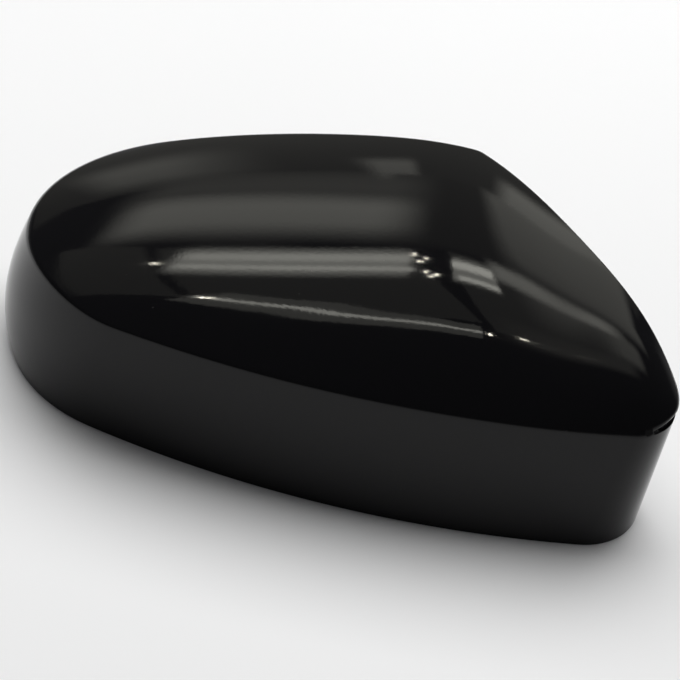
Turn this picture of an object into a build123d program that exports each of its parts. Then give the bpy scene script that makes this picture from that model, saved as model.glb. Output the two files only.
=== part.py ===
from build123d import *
from math import sqrt
import os

# Wing mirror cover: one moulding, lying on its open side, long near wall towards -Y, blunt tip towards +X

# Shell
wall = 2.5
crease_height = 47.6
crease_round = 0.8

# Side walls, from the rim up past the dome: three big arcs, each with its centre and radius
near_rim = (40.4, 350.3, 398.2)
near_top = (30, 428, 470)
far_arc = (2.4, -169.7, 250.5)
diagonal_arc = (-162.7, -153, 307.8)

# Round corners of the outline: outer end, far corner, tip
rim_corners = (58.3, 6.5, 24.1)
top_corners = (52.6, 6.5, 10)

# Flare of the hidden walls towards the rim, the far wall barrelled
far_flare = 15.2
barrel_height = 66
diagonal_flare = 2.1
level_shares = (0, 0.31, 0.63, 1)

# Dome: the ridge along its top with its rise above the crease, the line of its foot, and its bend across
ridge_points = [
    (-117, 22, 1.2),
    (-98, 23, 7.6),
    (-55, 30, 16),
    (-5, 33, 23.4),
    (40.3, 27, 27.5),
    (81, 6.6, 21.8),
    (106, -10.2, 16.2),
    (121, -24.7, 2),
]
foot_x = 30
foot_y = -46
foot_radius = 450
roundness = 0.55
far_bends = (136, 324)

# Nose of the dome at the tip: a round face that leans out over a small ledge
nose_x = 112.1
nose_y = -31.9
nose_turn = -36
nose_radius = 20
nose_lean = 14
nose_reach = 12
ledge_rise = 2.5

# How far the walls run past the dome and the dome past the walls, and how closely it is laid out
head_room = 4.9
near_reach = 1.35
far_reach = 112
end_reach = 0.1
stations = 32
rows = 8
fine = 0.05

# Opening in the far side for the mirror foot and lamp, seen along Y
opening = [(-74, 0), (-58, 36), (28, 53), (92, 45), (100, 0)]
opening_round = 14

# Snap clips along the near wall and at the outer end: a tower of two ribs and a plate with a window
clip_places = (-52, 18, 84)
end_clip_y = 22
clip_width = 16
clip_depth = 10
clip_foot = 9
rib = 1.8
window_width = 8
window_height = 6
window_rise = 4

# Gussets between near wall and dome
gusset_places = (-75, -17, 51)
gusset_depth = 13
gusset_foot = 14

# Hooks on the far flange: angle about the centre of their wall's arc, and rise above the crease
far_hooks = [(98, 3.4), (88, 10.4)]
diagonal_hooks = [(39, 10.4)]
hook_width = 12
hook_depth = 9
hook_lip = 7

# Cross-shaped locating posts under the dome
post_places = [(-38, 14), (52, 4)]
post_width = 11
post_foot = 24


loft_height = crease_height + max(rise for x, y, rise in ridge_points) + head_room
levels = [loft_height * share for share in level_shares]


def mix(a, b, part):
    return [u + (v - u) * part for u, v in zip(a, b)]


# The three sides at a height: near, far and diagonal, each as centre and radius
def sides(level):
    part = level / loft_height
    far_x, far_y, far_radius = far_arc
    far_radius += far_flare * max(0, 1 - (level / barrel_height) ** 2)
    diagonal_x, diagonal_y, diagonal_radius = diagonal_arc
    diagonal_radius += diagonal_flare * (1 - part)
    near = mix(near_rim, near_top, part)
    return near, (far_x, far_y, far_radius), (diagonal_x, diagonal_y, diagonal_radius)


# Outline of the walls at a height and a depth below the outer skin
def section(level, inset):
    near, far, diagonal = [Pos(x, y) * Circle(r - inset) for x, y, r in sides(level)]
    shape = near & far & diagonal
    ends = shape.vertices().sort_by(Axis.X)
    far_corner = shape.vertices().sort_by(Axis.Y)[-1]
    spots = [v.center() for v in (ends[0], far_corner, ends[-1])]
    for spot, radius in zip(spots, mix(rim_corners, top_corners, level / loft_height)):
        shape = fillet(shape.vertices().sort_by_distance(spot)[0], radius - inset)
    return Pos(0, 0, level) * shape.face()


ridge = Spline(*[(x, y, crease_height + rise) for x, y, rise in ridge_points])


# A point of the dome: along the ridge from outer end (0) to tip (1), across from near foot (-1) to far (1)
def dome_point(along, across):
    end = min(max(along, 0), 1)
    top = ridge @ end + (ridge % end) * (along - end) * ridge.length
    if across > 0:
        run = across * (far_reach - top.Y)
        bend = far_bends[0] + (far_bends[1] - far_bends[0]) * along
        return top + Vector(0, run, -run ** 2 / (2 * bend))
    foot = foot_y + (top.X - foot_x) ** 2 / (2 * foot_radius)
    share = near_reach * across
    fall = max(top.Z - crease_height, 0) * (roundness * share ** 2 + (1 - roundness) * share ** 4)
    return top + Vector(0, share * (top.Y - foot), -fall)


def dome(inset):
    step = 0.001
    net = []
    for i in range(stations + 1):
        along = (1 + 2 * end_reach) * i / stations - end_reach
        line = []
        for j in range(-rows, rows + 1):
            across = j / rows
            lengthwise = dome_point(along + step, across) - dome_point(along - step, across)
            crosswise = dome_point(along, across + step) - dome_point(along, across - step)
            line.append(dome_point(along, across) - lengthwise.cross(crosswise).normalized() * inset)
        net.append(line)
    return Face.make_surface_from_array_of_points(net, tol=fine / 2, min_deg=3, max_deg=5)


# The whole shape at a depth below the outer skin: the walls cut off along the dome
def solid(inset):
    walls = loft([section(level, inset) for level in levels])
    return walls - extrude(dome(inset), amount=2 * loft_height, dir=(0, 0, 1))


# Shell with the crease rounded, the nose set back above its ledge, and the opening in the far side
outer = solid(0)
skin = outer.faces().sort_by(Axis.Z)[-1]
outer = fillet(skin.edges().sort_by(Axis.Y)[0], crease_round)
block = Box(2 * nose_reach, 2 * nose_reach, loft_height, align=(Align.CENTER, Align.CENTER, Align.MIN))
nose = Rot(0, nose_lean, 0) * Pos(-nose_radius, 0, 0) * Cylinder(nose_radius, 4 * loft_height)
outer -= Pos(nose_x, nose_y, crease_height + ledge_rise) * Rot(0, 0, nose_turn) * (block - nose)
gap = make_face(Polyline(*[(x, 0, z) for x, z in opening], close=True))
gap = fillet(gap.vertices().filter_by(lambda v: v.Z > 0), opening_round)
cover = outer - solid(wall) - extrude(gap, amount=4 * loft_height, dir=(0, 1, 0))


def near_y(x, level):
    centre_x, centre_y, radius = sides(level)[0]
    return centre_y - sqrt(radius ** 2 - (x - centre_x) ** 2)


# A clip with its back in the wall at the origin, facing +Y
def clip():
    low = (Align.CENTER, Align.MIN, Align.MIN)
    tower = Box(clip_width, clip_depth, loft_height, align=low)
    tower -= Box(clip_width - 2 * rib, clip_depth - rib, loft_height, align=low)
    tower -= Pos(0, 0, window_rise) * Box(window_width, clip_depth, window_height, align=low)
    return Pos(0, 0, clip_foot) * tower


# A hook with its back in the wall at the origin, reaching towards -Y
def hook():
    high = (Align.CENTER, Align.MAX, Align.MAX)
    shelf = Box(hook_width, hook_depth, rib, align=high)
    lip = Pos(0, rib - hook_depth, 0) * Box(hook_width, rib, hook_lip, align=high)
    return shelf + lip


# Everything moulded on inside
inside = [Pos(x, near_y(x, clip_foot), 0) * clip() for x in clip_places]
end_x = section(clip_foot, 0).bounding_box().min.X
inside.append(Pos(end_x, end_clip_y, 0) * Rot(0, 0, -90) * clip())
for x in gusset_places:
    corners = [(0, gusset_foot), (0, loft_height), (gusset_depth, loft_height), (gusset_depth, crease_height)]
    blade = extrude(Plane.YZ * make_face(Polyline(*corners, close=True)), amount=rib)
    inside.append(Pos(x - rib / 2, near_y(x, gusset_foot), 0) * blade)
for x, y in post_places:
    for width, depth in ((post_width, rib), (rib, post_width)):
        blade = Box(width, depth, loft_height, align=(Align.CENTER, Align.CENTER, Align.MIN))
        inside.append(Pos(x, y, post_foot) * blade)
for side, places in ((1, far_hooks), (2, diagonal_hooks)):
    for angle, rise in places:
        height = crease_height + rise
        x, y, radius = sides(height)[side]
        inside.append(Pos(x, y, height) * Rot(0, 0, angle - 90) * Pos(0, radius, 0) * hook())
cover += Part() + inside & solid(wall / 2)

# Origin under the middle of the box
points = cover.tessellate(tolerance=fine, angular_tolerance=fine)[0]
middle_x, middle_y = [(min(v) + max(v)) / 2 for v in zip(*[(p.X, p.Y) for p in points])]
cover = Pos(-middle_x, -middle_y, 0) * cover
os.makedirs("parts", exist_ok=True)
export_step(cover, "parts/mirror_cover.step")
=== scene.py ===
import bpy
import numpy as np
from mathutils import Matrix, Vector


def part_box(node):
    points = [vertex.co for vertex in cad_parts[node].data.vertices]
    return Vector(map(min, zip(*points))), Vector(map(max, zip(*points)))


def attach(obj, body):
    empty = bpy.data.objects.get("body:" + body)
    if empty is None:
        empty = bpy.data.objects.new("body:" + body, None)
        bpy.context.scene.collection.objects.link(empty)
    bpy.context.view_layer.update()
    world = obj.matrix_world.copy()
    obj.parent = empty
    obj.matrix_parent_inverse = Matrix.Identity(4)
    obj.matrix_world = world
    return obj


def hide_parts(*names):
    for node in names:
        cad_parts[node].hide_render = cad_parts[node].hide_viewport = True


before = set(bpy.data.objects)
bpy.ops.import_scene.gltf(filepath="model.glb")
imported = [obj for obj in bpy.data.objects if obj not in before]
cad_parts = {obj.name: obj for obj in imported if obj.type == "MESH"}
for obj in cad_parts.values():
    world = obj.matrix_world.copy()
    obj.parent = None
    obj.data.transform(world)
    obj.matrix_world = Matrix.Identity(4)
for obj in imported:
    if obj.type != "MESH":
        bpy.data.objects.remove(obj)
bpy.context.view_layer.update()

MM = 0.001

# The cover's form, in millimetres, from the same values as its solid. Walls:
CREASE = 47.6
LOFT = 80.0
LEVELS = LOFT * np.array((0, 0.31, 0.63, 1))
NEAR_RIM, NEAR_TOP = (40.4, 350.3, 398.2), (30, 428, 470)
FAR = (2.4, -169.7, 250.5)
DIAGONAL = (-162.7, -153, 307.8)
RIM_CORNERS, TOP_CORNERS = (58.3, 6.5, 24.1), (52.6, 6.5, 10)
FAR_FLARE, BARREL, DIAGONAL_FLARE = 15.2, 66, 2.1

# Round corners: the sides they join, of near (0), far (1) and diagonal (2), and about where they lie
CORNERS = ((0, 1, (-118, 20)), (1, 2, (38, 74)), (2, 0, (112, -34)))

# Dome: ridge with its rise above the crease, near foot, bend across and far bends
RIDGE = [(-117, 22, 1.2), (-98, 23, 7.6), (-55, 30, 16), (-5, 33, 23.4),
         (40.3, 27, 27.5), (81, 6.6, 21.8), (106, -10.2, 16.2), (121, -24.7, 2)]
FOOT_X, FOOT_Y, FOOT_RADIUS = 30, -46, 450
ROUNDNESS = 0.55
FAR_BENDS = (136, 324)

# Nose at the tip, leaning out over its ledge
NOSE = (112.1, -31.9)
NOSE_TURN, NOSE_LEAN = np.radians(-36), np.radians(14)
NOSE_RADIUS, NOSE_REACH = 20, 12
LEDGE = CREASE + 2.5

# Opening in the far side, seen along Y
OPENING = [(-74, 0), (-58, 36), (28, 53), (92, 45), (100, 0)]
OPENING_ROUND = 14

# Layout of the skin: columns about a centre, from angle to angle with how many in each stretch, and rows
CENTRE = np.array((-5.0, 10.0))
COLUMNS = ((-180, -28, 304), (-28, -6, 200), (-6, 180, 372))
WALL_ROWS, DOME_ROWS = 20, 56
CROWDING = 1.6
LEDGE_PARTS = (0, 0.2, 0.8, 1)
NOSE_PARTS = (0.2, 0.4, 0.6, 0.8, 1)
CREASE_PARTS = (0.2, 0.4, 0.6, 0.8)
BELOW_LEDGE, ABOVE_LEDGE = 0.3, 1.5
LOWEST_CREASE = 30.0
RIDGE_STEPS, ROUND_STEPS = 200, 9
OVERRUN = 0.12

# Bevel of the crease, and what is added to it away from the near wall: the wall's angle and two spans
BEVEL, MORE_BEVEL = 1.0, 0.9
NEAR_ANGLE, CRISP_SPAN, BLEND_SPAN = -60, 95, 30

# A face of the solid gives way to the skin if this part of its corners lies this near to the skin
SKIN_PART, SKIN_NEAR = 0.8, 1.25


def mix(a, b, part):
    return [u + (v - u) * part for u, v in zip(a, b)]


def ridge_line():
    """Points of a smooth curve along the ridge, run on straight at its ends, and the part of its length at each."""
    q = np.array(RIDGE, float) + (0, 0, CREASE)
    t = np.concatenate([[0], np.cumsum(np.linalg.norm(np.diff(q, axis=0), axis=1))])
    n = len(q)

    def end_slope(i, j, k):
        a, b = t[j] - t[i], t[k] - t[i]
        return (q[j] - q[i]) / a * b / (b - a) - (q[k] - q[i]) / b * a / (b - a)

    A, B = np.eye(n), np.zeros((n, 3))
    B[0], B[-1] = end_slope(0, 1, 2), end_slope(n - 1, n - 2, n - 3)
    for i in range(1, n - 1):
        h0, h1 = t[i] - t[i - 1], t[i + 1] - t[i]
        A[i, i - 1 : i + 2] = h1, 2 * (h0 + h1), h0
        B[i] = 3 * (h1 * (q[i] - q[i - 1]) / h0 + h0 * (q[i + 1] - q[i]) / h1)
    m = np.linalg.solve(A, B)
    line = []
    for i in range(n - 1):
        h = t[i + 1] - t[i]
        s = np.linspace(0, 1, RIDGE_STEPS, endpoint=i == n - 2)[:, None]
        line.append((2 * s**3 - 3 * s**2 + 1) * q[i] + (s**3 - 2 * s**2 + s) * h * m[i]
                    + (3 * s**2 - 2 * s**3) * q[i + 1] + (s**3 - s**2) * h * m[i + 1])
    line = np.vstack(line)
    along = np.concatenate([[0], np.cumsum(np.linalg.norm(np.diff(line, axis=0), axis=1))])
    first, last = [v / np.linalg.norm(v) * OVERRUN * along[-1] for v in (B[0], B[-1])]
    line = np.vstack([line[0] - first, line, line[-1] + last])
    return line, np.concatenate([[-OVERRUN], along / along[-1], [1 + OVERRUN]])


RIDGE_LINE, RIDGE_ALONG = ridge_line()


def dome(x, y):
    """Height of the dome at a place."""
    values = RIDGE_ALONG, RIDGE_LINE[:, 1], RIDGE_LINE[:, 2]
    along, ty, tz = [np.interp(x, RIDGE_LINE[:, 0], v) for v in values]
    bend = FAR_BENDS[0] + (FAR_BENDS[1] - FAR_BENDS[0]) * along
    far = tz - np.maximum(y - ty, 0) ** 2 / (2 * bend)
    foot = FOOT_Y + (x - FOOT_X) ** 2 / (2 * FOOT_RADIUS)
    s = np.minimum(y - ty, 0) / (ty - foot)
    near = tz - np.maximum(tz - CREASE, 0) * (ROUNDNESS * s**2 + (1 - ROUNDNESS) * s**4)
    return np.where(y > ty, far, near)


def wall_values():
    """Centre and radius of the near, far and diagonal side, and the three corners' radii, at each level."""
    rows = []
    for level in LEVELS:
        part = level / LOFT
        far = [*FAR[:2], FAR[2] + FAR_FLARE * max(0, 1 - (level / BARREL) ** 2)]
        diagonal = [*DIAGONAL[:2], DIAGONAL[2] + DIAGONAL_FLARE * (1 - part)]
        rows.append(mix(NEAR_RIM, NEAR_TOP, part) + far + diagonal + mix(RIM_CORNERS, TOP_CORNERS, part))
    return np.array(rows)


WALL = wall_values()


def angle_of(point):
    return np.arctan2(point[..., 1] - CENTRE[1], point[..., 0] - CENTRE[0])


def wall_radius(phi, z):
    """Distance from the centre to the wall, by angle and height."""
    weights = [np.prod([(z - b) / (a - b) for b in LEVELS if b != a], axis=0) for a in LEVELS]
    v = sum(w[..., None] * row for w, row in zip(weights, WALL))
    circles = v[..., 0:3], v[..., 3:6], v[..., 6:9]
    radii = v[..., 9], v[..., 10], v[..., 11]
    dx, dy = np.cos(phi), np.sin(phi)

    def reach(x, y, r):
        b = dx * (CENTRE[0] - x) + dy * (CENTRE[1] - y)
        c = b**2 - (CENTRE[0] - x) ** 2 - (CENTRE[1] - y) ** 2 + r**2
        return np.sqrt(np.maximum(c, 0)) - b

    radius = np.min([reach(c[..., 0], c[..., 1], c[..., 2]) for c in circles], axis=0)
    for (i, j, near), f in zip(CORNERS, radii):
        a, b = circles[i], circles[j]
        ra, rb = a[..., 2] - f, b[..., 2] - f
        step = b[..., :2] - a[..., :2]
        d = np.linalg.norm(step, axis=-1)
        u = step / d[..., None]
        w = (ra**2 - rb**2 + d**2) / (2 * d)
        h = np.sqrt(np.maximum(ra**2 - w**2, 0))
        side = np.stack([-u[..., 1], u[..., 0]], -1)
        both = [a[..., :2] + w[..., None] * u + s * h[..., None] * side for s in (1, -1)]
        off = [np.linalg.norm(q - np.array(near), axis=-1) for q in both]
        f0 = np.where((off[0] < off[1])[..., None], both[0], both[1])
        ends = [c[..., :2] + (f0 - c[..., :2]) * (c[..., 2] / r)[..., None] for c, r in ((a, ra), (b, rb))]
        middle = angle_of(f0)
        at, first, last = [(q - middle + np.pi) % (2 * np.pi) - np.pi for q in (phi, *map(angle_of, ends))]
        inside = (at > np.minimum(first, last)) & (at < np.maximum(first, last))
        radius = np.where(inside, reach(f0[..., 0], f0[..., 1], f), radius)
    return radius


def wall_point(phi, z):
    r = wall_radius(phi, z)
    return np.stack([CENTRE[0] + r * np.cos(phi), CENTRE[1] + r * np.sin(phi), z], -1)


def set_back(point):
    """A point of the wall, moved in to the nose's leaning face where it lies above the ledge."""
    p = point.copy()
    axis = np.array((np.cos(NOSE_TURN), np.sin(NOSE_TURN)))
    inward = CENTRE - p[:, :2]
    inward /= np.linalg.norm(inward, axis=1)[:, None]
    rise = np.maximum(p[:, 2] - LEDGE, 0)
    for _ in range(6):
        off = p[:, :2] - NOSE
        out, side = off @ axis, off @ (-axis[1], axis[0])
        at_tip = (p[:, 2] >= LEDGE) & (np.abs(out) < NOSE_REACH) & (np.abs(side) < NOSE_REACH)
        side = np.where(at_tip, side, 0)
        sag = NOSE_RADIUS - np.sqrt(NOSE_RADIUS**2 - side**2)
        over = out + (sag - rise * np.sin(NOSE_LEAN)) / np.cos(NOSE_LEAN)
        p[:, :2] += np.where(at_tip, np.maximum(over, 0), 0)[:, None] * inward
    return p


def opening_line():
    """Edge of the opening, with its upper corners rounded."""
    q = np.array(OPENING, float)
    line = [q[0]]
    for a, b, c in zip(q, q[1:], q[2:]):
        u, w = (a - b) / np.linalg.norm(a - b), (c - b) / np.linalg.norm(c - b)
        half = np.arccos(np.clip(u @ w, -1, 1)) / 2
        cut = OPENING_ROUND / np.tan(half)
        centre = b + (u + w) / np.linalg.norm(u + w) * OPENING_ROUND / np.sin(half)
        p0, p1 = b + u * cut - centre, b + w * cut - centre
        for s in np.linspace(0, 1, ROUND_STEPS):
            p = p0 * (1 - s) + p1 * s
            line.append(centre + p / np.linalg.norm(p) * OPENING_ROUND)
    return np.array(line + [q[-1]])


def crease_heights(phi):
    """Where the wall meets the dome, found by halving."""
    lo, hi = np.full(len(phi), LOWEST_CREASE), np.full(len(phi), LOFT - 1)
    for _ in range(40):
        middle = (lo + hi) / 2
        p = wall_point(phi, middle)
        up = dome(p[:, 0], p[:, 1]) > middle
        lo, hi = np.where(up, middle, lo), np.where(up, hi, middle)
    return (lo + hi) / 2


def wall_foot(phi):
    """Where the wall starts: at the rim, or at the edge of the opening."""
    gap = opening_line()
    low = np.zeros(len(phi))
    for _ in range(12):
        p = wall_point(phi, low)
        low = np.where(p[:, 1] > 0, np.interp(p[:, 0], gap[:, 0], gap[:, 1], 0, 0), 0)
    return low


def skin_rows():
    """Rings of points up the wall, round the crease and in over the dome to its middle."""
    phi = np.radians(np.concatenate([np.linspace(a, b, n, endpoint=False) for a, b, n in COLUMNS]))
    crease = crease_heights(phi)
    edge = set_back(wall_point(phi, crease))
    low = wall_foot(phi)
    reach = np.linalg.norm(edge[:, :2] - CENTRE, axis=1)

    def top_point(part):
        xy = CENTRE + part[:, None] * (edge[:, :2] - CENTRE)
        return np.column_stack([xy, dome(xy[:, 0], xy[:, 1])])

    # The crease is crisp along the near wall and softer round the outer end and the far side
    softer = np.clip((np.abs(np.degrees(phi) - NEAR_ANGLE) - CRISP_SPAN) / BLEND_SPAN, 0, 1)
    bevel = BEVEL + MORE_BEVEL * softer
    lip = 1 - bevel / reach
    below = crease - bevel
    highest = below - ABOVE_LEDGE
    ledge = np.minimum(LEDGE, highest)
    rows = [wall_point(phi, low + (ledge - BELOW_LEDGE - low) * k / WALL_ROWS) for k in range(WALL_ROWS + 1)]
    outer = wall_point(phi, ledge)
    inner = set_back(wall_point(phi, ledge + np.where(highest > LEDGE, 1e-6, 0.1)))
    rows += [outer + (inner - outer) * k for k in LEDGE_PARTS]
    rows += [set_back(wall_point(phi, ledge + (below - ledge) * k)) for k in NOSE_PARTS]
    a, b = rows[-1], top_point(lip)
    rows += [(1 - t) ** 2 * a + 2 * t * (1 - t) * edge + t**2 * b for t in CREASE_PARTS]
    rows += [top_point(lip * (1 - (k / DOME_ROWS) ** CROWDING)) for k in range(DOME_ROWS)]
    return rows


def skin_faces(rows, columns):
    """Faces between the rings, and from the last ring to the point in the middle, which comes after them."""
    i = np.arange(columns)
    j = (i + 1) % columns
    lower = np.arange(rows - 1)[:, None] * columns
    faces = np.stack([lower + i, lower + j, lower + columns + j, lower + columns + i], -1).reshape(-1, 4)
    last = (rows - 1) * columns
    return faces.tolist() + [(last + a, last + b, rows * columns) for a, b in zip(i.tolist(), j.tolist())]


def rest_of_solid(source, shift):
    """Corners of the solid's mesh, and its faces but for the outer skin: rim, edges of the opening, inside, clips."""
    verts = np.empty(len(source.vertices) * 3)
    source.vertices.foreach_get("co", verts)
    verts = verts.reshape(-1, 3) / MM
    flat = verts - shift
    away = np.hypot(flat[:, 0] - CENTRE[0], flat[:, 1] - CENTRE[1])
    off_wall = np.abs(away - wall_radius(angle_of(flat), flat[:, 2]))
    off_top = np.abs(flat[:, 2] - dome(flat[:, 0], flat[:, 1]))
    on_skin = np.minimum(off_wall, off_top) < SKIN_NEAR
    tri = np.array([tuple(p.vertices) for p in source.polygons])
    group = np.arange(len(verts))
    while True:
        low = group[tri].min(1)
        new = group.copy()
        for k in range(3):
            np.minimum.at(new, tri[:, k], low)
        new = new[new]
        if (new == group).all():
            break
        group = new
    part = np.bincount(group, on_skin) / np.maximum(np.bincount(group), 1)
    return verts, tri[part[group[tri[:, 0]]] < SKIN_PART]


def build_cover(node):
    rows = skin_rows()
    box = np.array(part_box(node.name)) / MM
    every = np.vstack(rows)
    shift = np.append(box[0, :2] - every[:, :2].min(0), 0)
    middle = np.append(CENTRE, dome(*CENTRE[:, None]))
    skin = np.clip(np.vstack([every, middle]) + shift, box[0], box[1])
    faces = skin_faces(len(rows), len(rows[0]))
    outer = len(faces)
    verts, rest = rest_of_solid(node.data, shift)
    faces += (rest + len(skin)).tolist()

    mesh = bpy.data.meshes.new("cover")
    mesh.from_pydata((np.vstack([skin, verts]) * MM).tolist(), [], faces)
    mesh.polygons.foreach_set("material_index", [0] * outer + [1] * (len(faces) - outer))
    mesh.polygons.foreach_set("use_smooth", [True] * len(faces))
    mesh.update()
    obj = bpy.data.objects.new("cover", mesh)
    bpy.context.collection.objects.link(obj)
    for o in bpy.context.selected_objects:
        o.select_set(False)
    bpy.context.view_layer.objects.active = obj
    obj.select_set(True)
    bpy.ops.object.mode_set(mode="EDIT")
    bpy.ops.mesh.select_all(action="SELECT")
    bpy.ops.mesh.delete_loose()
    bpy.ops.object.mode_set(mode="OBJECT")
    return obj, shift


def feed(tree, node, inputs):
    """Set a node's inputs, each to a value or to another node's output."""
    for name, value in inputs.items():
        if isinstance(value, bpy.types.NodeSocket):
            tree.links.new(value, node.inputs[name])
        else:
            node.inputs[name].default_value = value


def add(tree, kind, inputs, **settings):
    """Add a node with its settings and inputs."""
    node = tree.nodes.new("ShaderNode" + kind)
    for name, value in settings.items():
        setattr(node, name, value)
    feed(tree, node, inputs)
    return node


def times(tree, a, b):
    return add(tree, "Math", {0: a, 1: b}, operation="MULTIPLY").outputs[0]


def blend(tree, part, a, b):
    """A colour between two others."""
    return add(tree, "Mix", {"Factor": part, "A": (*a, 1), "B": (*b, 1)}, data_type="RGBA").outputs["Result"]


def spread(tree, value, **ends):
    """A value carried from one range to another."""
    inputs = {name.replace("_", " "): end for name, end in ends.items()}
    return add(tree, "MapRange", {"Value": value, **inputs}).outputs["Result"]


def noise(tree, **inputs):
    place = add(tree, "TexCoord", {}).outputs["Object"]
    return add(tree, "TexNoise", {"Vector": place, **inputs}).outputs["Fac"]


def bumps(tree, height, strength, distance):
    return add(tree, "Bump", {"Height": height, "Strength": strength, "Distance": distance}).outputs["Normal"]


def material(name):
    mat = bpy.data.materials.new(name)
    mat.use_nodes = True
    return mat, mat.node_tree, mat.node_tree.nodes["Principled BSDF"]


def gloss_black():
    """Outer skin: deep gloss with a slight haze, specks of dust and a faint peel."""
    mat, tree, shader = material("gloss_black")
    haze = noise(tree, Scale=22, Detail=4)
    place = add(tree, "TexCoord", {}).outputs["Object"]
    dust = add(tree, "TexVoronoi", {"Vector": place, "Scale": 420}).outputs
    speck = spread(tree, dust["Distance"], From_Min=0.05, From_Max=0.16, To_Min=1, To_Max=0)
    pick = spread(tree, dust["Color"], From_Min=0.90, From_Max=0.97)
    feed(tree, shader, {
        "IOR": 1.30,
        "Roughness": spread(tree, haze, From_Min=0.35, From_Max=0.75, To_Min=0.04, To_Max=0.09),
        "Base Color": blend(tree, times(tree, speck, pick), (0.0035, 0.0034, 0.0040), (0.035, 0.034, 0.033)),
        "Normal": bumps(tree, noise(tree, Scale=700, Detail=3), 0.025, 0.0003),
    })
    return mat


def moulded_black():
    """Inside: bare plastic with a fine grain."""
    mat, tree, shader = material("moulded_black")
    flow = noise(tree, Scale=30, Detail=3)
    feed(tree, shader, {
        "Base Color": blend(tree, flow, (0.010, 0.010, 0.011), (0.022, 0.022, 0.023)),
        "Roughness": spread(tree, flow, To_Min=0.38, To_Max=0.58),
        "Normal": bumps(tree, noise(tree, Scale=900, Detail=3), 0.12, 0.0002),
    })
    return mat


def pale_floor():
    mat, tree, shader = material("pale_floor")
    feed(tree, shader, {
        "Roughness": 0.7,
        "Specular IOR Level": 0.2,
        "Base Color": blend(tree, noise(tree, Scale=3), (0.86, 0.86, 0.86), (0.90, 0.90, 0.90)),
    })
    return mat


cover, shift = build_cover(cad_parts["mirror_cover"])
cover.data.materials.append(gloss_black())
cover.data.materials.append(moulded_black())
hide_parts("mirror_cover")
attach(cover, "root")

# Floor, a hair below the rim, in metres
FLOOR_SIZE, FLOOR_DROP = 12, 0.0002
bpy.ops.mesh.primitive_plane_add(size=FLOOR_SIZE, location=(0, 0, -FLOOR_DROP))
floor = bpy.context.object
floor.name = "floor"
floor.data.materials.append(pale_floor())

# One large soft lamp lights the floor and the cover, from above the far side, and doesn't show in the gloss
LAMP_RADIANCE = 4.3
lamp = bpy.data.lights.new("soft_lamp", "AREA")
lamp.shape = "RECTANGLE"
lamp.size, lamp.size_y = 2.6, 2.0
lamp.energy = LAMP_RADIANCE * np.pi * lamp.size * lamp.size_y
soft_lamp = bpy.data.objects.new("soft_lamp", lamp)
soft_lamp.location = (0, 1.0, 2.0)
soft_lamp.rotation_euler = (-0.46, 0, 0)
soft_lamp.visible_camera = False
soft_lamp.visible_glossy = False
bpy.context.collection.objects.link(soft_lamp)

WARM_WHITE, BULB_WHITE = (1, 0.99, 0.9), (1, 0.95, 0.8)


def fading(tree, light, axes, soft):
    """Light that fades out towards a card's edges, over a part of its width along each of two axes."""
    split = add(tree, "SeparateXYZ", {"Vector": add(tree, "TexCoord", {}).outputs["Generated"]})
    fade = []
    for axis, part in zip(axes, soft):
        inward = add(tree, "Math", {0: split.outputs[axis], 1: 0.5}, operation="PINGPONG").outputs[0]
        edge = add(tree, "MapRange", {"Value": inward, "From Max": part}, interpolation_type="SMOOTHSTEP")
        fade.append(edge.outputs["Result"])
    clear = add(tree, "BsdfTransparent", {}).outputs["BSDF"]
    return add(tree, "MixShader", {"Fac": times(tree, *fade), 1: clear, 2: light}).outputs["Shader"]


def card(name, radiance, corners, height=600, back=None, soft=None, colour=WARM_WHITE):
    """A glowing card that only shows in the gloss: flat overhead, or upright at a distance behind."""
    if back is None:
        axes, points = "XY", [(x + shift[0], y + shift[1], height) for x, y in corners]
    else:
        axes, points = "XZ", [(x + shift[0], back + shift[1], z) for x, z in corners]
    mesh = bpy.data.meshes.new(name)
    mesh.from_pydata([tuple(v * MM for v in p) for p in points], [], [tuple(range(len(points)))])
    mat = bpy.data.materials.new(name)
    mat.use_nodes = True
    tree = mat.node_tree
    tree.nodes.clear()
    light = add(tree, "Emission", {"Color": (*colour, 1), "Strength": radiance}).outputs["Emission"]
    if soft:
        light = fading(tree, light, axes, soft)
    add(tree, "OutputMaterial", {"Surface": light})
    mesh.materials.append(mat)
    obj = bpy.data.objects.new(name, mesh)
    bpy.context.collection.objects.link(obj)
    obj.visible_camera = obj.visible_diffuse = obj.visible_shadow = False


def panel(x0, x1, y0, y1):
    return [(x0, y0), (x1, y0), (x1, y1), (x0, y1)]


def band(line, width):
    """A strip of even width along a line of points."""
    line = np.array(line, float)
    along = np.gradient(line, axis=0)
    side = np.column_stack([-along[:, 1], along[:, 0]]) / np.linalg.norm(along, axis=1)[:, None]
    return [tuple(p) for p in (line + side * width / 2)] + [tuple(p) for p in (line - side * width / 2)[::-1]]


# Roof of the tent, its back and right parts, and its back wall, in millimetres
card("roof_left", 0.4, [(-280, 425), (-75, 440), (-20, 270), (90, 50), (-60, 30), (-205, 115)])
card("roof_right", 0.4, [(10, 440), (250, 430), (225, 100), (180, 40), (118, 20), (105, 60), (30, 300)])
card("roof_side", 0.4, [(-520, 560), (-300, 440), (-215, 115), (-330, 115)], 601)
card("back_left", 2.1, panel(-470, -20, 440, 880), 601.5, soft=(0.28, 0.4))
card("back_far", 0.6, panel(-520, 20, 520, 1300), 602, soft=(0.3, 0.48))
card("back_mid", 0.2, panel(-160, 240, 420, 1200), 603, soft=(0.1, 0.1))
card("back_right", 1.05, panel(150, 600, 400, 1300), 602, soft=(0.25, 0.25))
card("right_high", 1.7, panel(170, 340, 320, 520), 599, soft=(0.4, 0.4))
card("right_low", 1.3, panel(170, 430, 60, 460), 599.6, soft=(0.35, 0.35))
card("right_front", 0.6, panel(96, 340, -50, 150), 599.8, soft=(0.4, 0.4))
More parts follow.
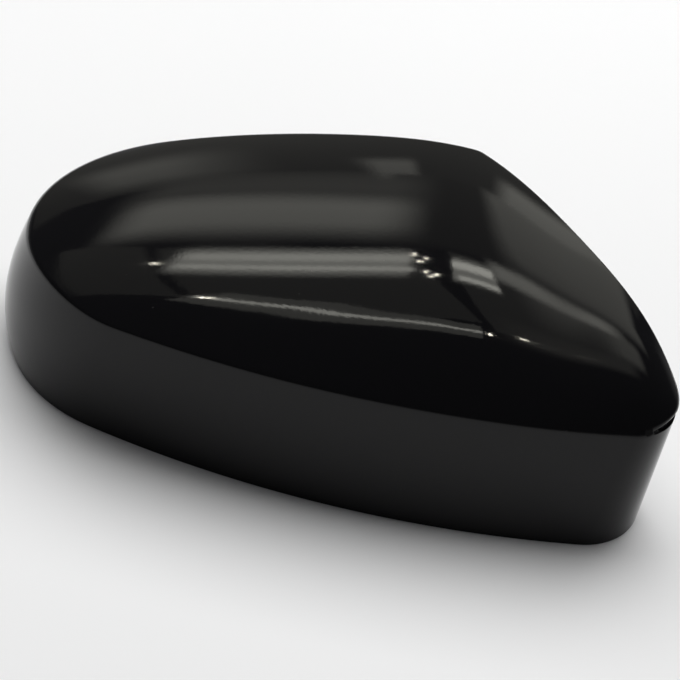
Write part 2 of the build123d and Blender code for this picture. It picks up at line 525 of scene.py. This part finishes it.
card("wall", 0.22, panel(-1000, 800, 60, 720), back=1200, soft=(0.05, 0.05))
card("wall_left", 0.75, panel(-720, -260, 200, 720), back=1190, soft=(0.4, 0.4))
card("wall_mid", 0.9, panel(-200, -60, 440, 720), back=1190, soft=(0.3, 0.3))
card("wall_right", 1.4, panel(230, 620, 400, 720), back=1190, soft=(0.3, 0.3))

# Rows of lamps in the roof
card("lamp_left", 4.8, panel(-256, -52, 238, 440), 599, soft=(0.09, 0.3))
card("strip_1", 7.4, panel(-246, -58, 332, 402), 598, soft=(0.06, 0.45))
card("strip_2", 8.2, panel(-245, -47, 282, 326), 598, soft=(0.06, 0.45))
card("lamp_right", 4.0, panel(18, 150, 245, 428), 599, soft=(0.08, 0.25))
card("strip_3", 10.5, [(25, 325), (140, 332), (140, 402), (15, 395)], 598, soft=(0.08, 0.4))
card("strip_4", 3.2, panel(110, 290, 320, 490), 598.5, soft=(0.3, 0.4))
card("strip_5", 10, panel(32, 150, 264, 312), 598, soft=(0.1, 0.45))

# Bright front edge of the roof
FRONT_EDGE = [(-206, 124), (-136, 78), (-108, 43), (-72, 20), (-22, 3), (46, -9), (90, -5)]
card("front_edge", 8.6, band(FRONT_EDGE, 12), 597)
card("front_glow", 1.3, band(FRONT_EDGE, 70), 599.5)

# Bare bulbs
BULBS = [(-58, 395), (-35, 375), (-47, 353), (-33, 295), (-12, 283), (-22, 268),
         (-262, 319), (-198, 118), (104, -5), (155, 24)]
BULB_RADIUS, BULB_SIDES, BULB_RADIANCE = 4, 12, 120
for k, (x, y) in enumerate(BULBS):
    turns = np.linspace(0, 2 * np.pi, BULB_SIDES, endpoint=False)
    ring = [(x + BULB_RADIUS * np.cos(t), y + BULB_RADIUS * np.sin(t)) for t in turns]
    card("bulb_%d" % k, BULB_RADIANCE, ring, 596, colour=BULB_WHITE)

# World: dark above, a little paler along the horizon
world = bpy.data.worlds.new("studio")
bpy.context.scene.world = world
world.use_nodes = True
tree = world.node_tree
split = add(tree, "SeparateXYZ", {"Vector": add(tree, "TexCoord", {}).outputs["Generated"]})
ramp = add(tree, "ValToRGB", {"Fac": split.outputs["Z"]})
horizon, above = ramp.color_ramp.elements
horizon.position, horizon.color = 0.02, (0.30, 0.30, 0.30, 1)
above.position, above.color = 0.30, (0.06, 0.06, 0.062, 1)
feed(tree, tree.nodes["Background"], {"Color": ramp.outputs["Color"], "Strength": 1})

# Camera: in front, 41 degrees up, rolled 10 degrees; distance in millimetres, focal length in pixels
ELEVATION, ROLL = np.radians(41), np.radians(-10)
DISTANCE, AIM_HEIGHT = 700, 35
FOCAL, PICTURE, SENSOR = 1990, 680, 36
forward = np.array((0, np.cos(ELEVATION), -np.sin(ELEVATION)))
level = np.array((1.0, 0, 0))
steep = np.cross(forward, level)
right = np.cos(ROLL) * level + np.sin(ROLL) * steep
down = np.cos(ROLL) * steep - np.sin(ROLL) * level
eye = np.array((shift[0], shift[1], AIM_HEIGHT)) - DISTANCE * forward
lens = bpy.data.cameras.new("photo_view")
lens.sensor_width = SENSOR
lens.lens = SENSOR * FOCAL / PICTURE
lens.clip_start, lens.clip_end = 0.01, 50
camera = bpy.data.objects.new("photo_view", lens)
facing = Matrix((right, -down, -forward)).transposed().to_4x4()
camera.matrix_world = Matrix.Translation(Vector(eye * MM)) @ facing
bpy.context.collection.objects.link(camera)
bpy.context.scene.camera = camera
bpy.context.scene.view_settings.view_transform = "Standard"
